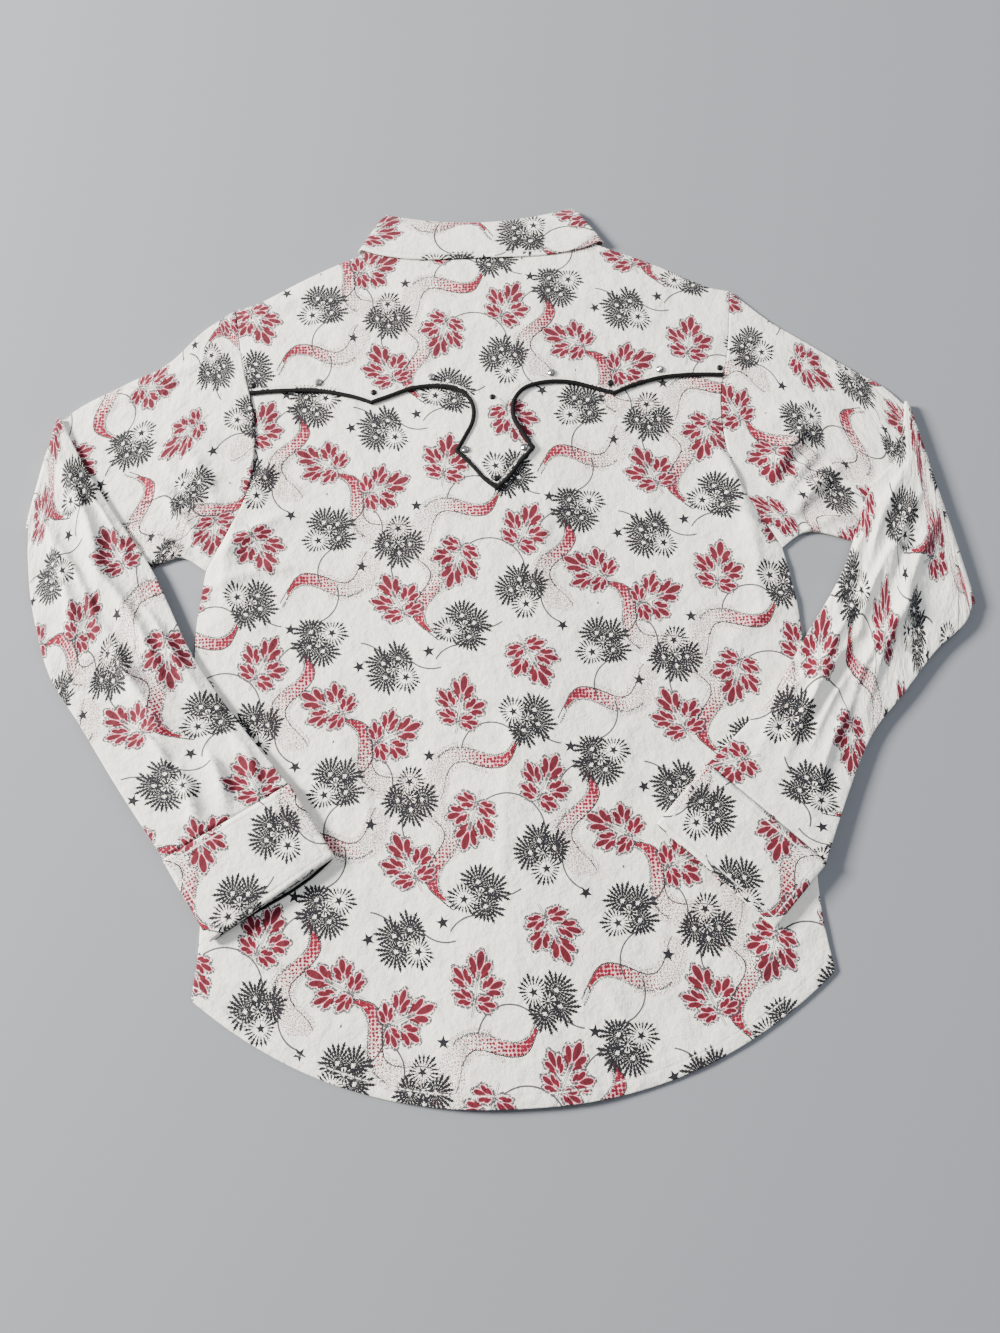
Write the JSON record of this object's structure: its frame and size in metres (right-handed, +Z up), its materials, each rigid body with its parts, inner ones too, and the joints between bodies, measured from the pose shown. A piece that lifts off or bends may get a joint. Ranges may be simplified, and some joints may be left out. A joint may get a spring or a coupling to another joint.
{
  "type": "western snap shirt",
  "caption": "Long-sleeved western snap shirt in printed cotton lawn, laid flat face down, with a piped and studded back yoke, turned-down collar and sleeves folded over the back.",
  "frame": {"origin": "middle of the shirt's outline, on the surface it lies on", "axes": "+X towards the wearer's right, +Y towards the collar, +Z up, out of the back of the shirt"},
  "size_m": [0.7844, 0.7619, 0.0116],
  "materials": {
    "cotton_lawn": "off-white cotton lawn with a rotary-printed floral in black, crimson and pink",
    "piping": "matte black corded piping",
    "black_stud": "gloss black enamelled dome",
    "clear_stud": "bright cut-glass stone in a silvery cup",
    "snap_cap": "pearly cap of a snap fastener"
  },
  "bodies": {
    "root": {"front_left": "cotton_lawn", "front_right": "cotton_lawn", "front_placket": "cotton_lawn", "back": "cotton_lawn", "back_yoke": "cotton_lawn", "collar_fall": "cotton_lawn", "collar_stand": "cotton_lawn", "sleeve_left": "cotton_lawn", "sleeve_right": "cotton_lawn", "cuff_left": "cotton_lawn", "cuff_right": "cotton_lawn", "yoke_piping": "piping", "cuff_piping_left": "piping", "cuff_piping_right": "piping", "yoke_stud_black_1": "black_stud", "yoke_stud_black_2": "black_stud", "yoke_stud_black_3": "black_stud", "yoke_stud_black_4": "black_stud", "yoke_stud_black_5": "black_stud", "yoke_stud_black_6": "black_stud", "yoke_stud_clear_1": "clear_stud", "yoke_stud_clear_2": "clear_stud", "yoke_stud_clear_3": "clear_stud", "yoke_stud_clear_4": "clear_stud", "yoke_stud_clear_5": "clear_stud", "yoke_stud_clear_6": "clear_stud", "front_snap_1": "snap_cap", "front_snap_2": "snap_cap", "front_snap_3": "snap_cap", "front_snap_4": "snap_cap", "front_snap_5": "snap_cap", "front_snap_6": "snap_cap", "front_snap_7": "snap_cap", "cuff_snap_left_1": "snap_cap", "cuff_snap_left_2": "snap_cap", "cuff_snap_right_1": "snap_cap", "cuff_snap_right_2": "snap_cap"}
  },
  "joints": []
}
